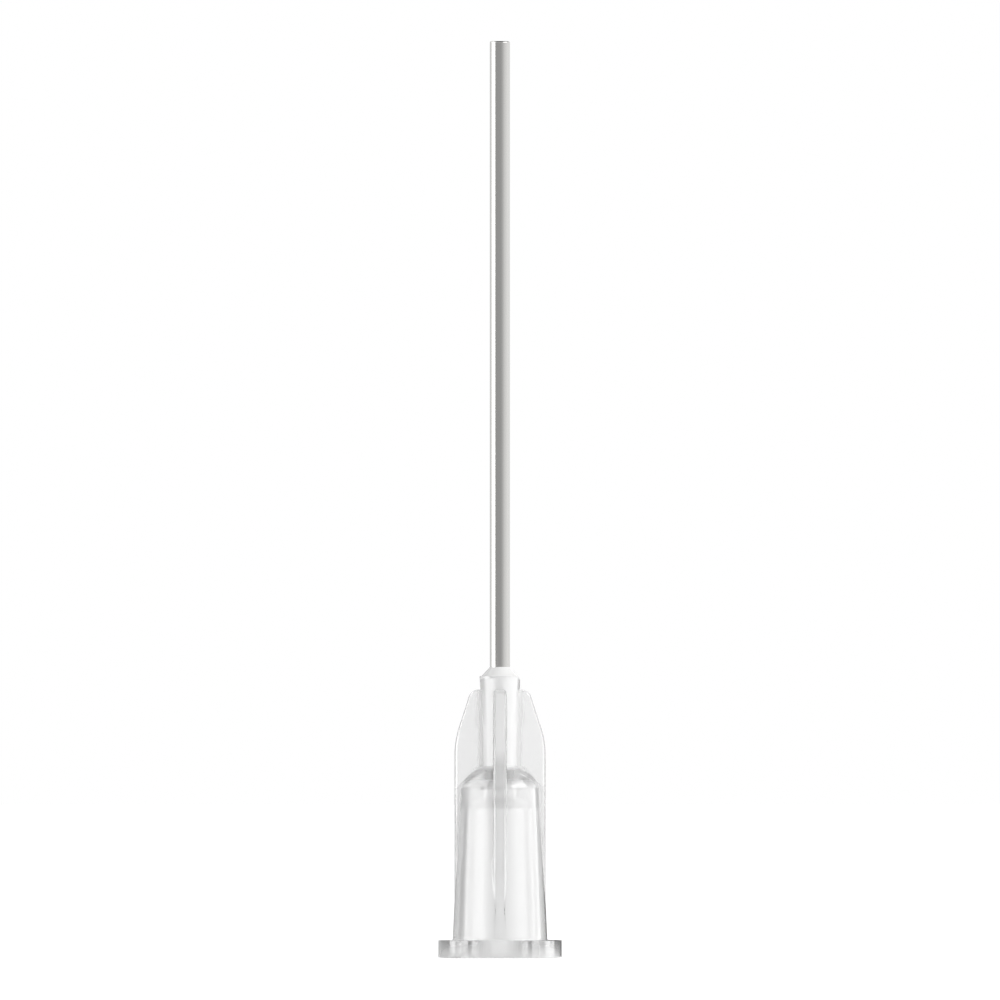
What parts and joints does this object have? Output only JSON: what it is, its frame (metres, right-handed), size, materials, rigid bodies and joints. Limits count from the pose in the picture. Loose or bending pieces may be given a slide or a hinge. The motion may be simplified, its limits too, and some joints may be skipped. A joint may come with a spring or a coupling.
{
  "type": "suction cannula",
  "caption": "Straight blunt suction cannula: a slim steel tube bonded into a finned translucent hub with a lugged female luer socket.",
  "frame": {"origin": "centre of the flange's underside, on the axis of the tube and the luer socket", "axes": "+Z along the tube towards its blunt tip, X across the two lugs of the flange"},
  "size_m": [0.0078, 0.006, 0.0578],
  "materials": {
    "hub_plastic": "natural translucent moulded polypropylene, smooth, faintly milky",
    "tube_steel": "bright drawn stainless steel",
    "bead_adhesive": "clear to faintly milky cured adhesive"
  },
  "bodies": {
    "root": {"hub": "hub_plastic", "cannula_tube": "tube_steel", "adhesive_bead": "bead_adhesive"}
  },
  "joints": []
}
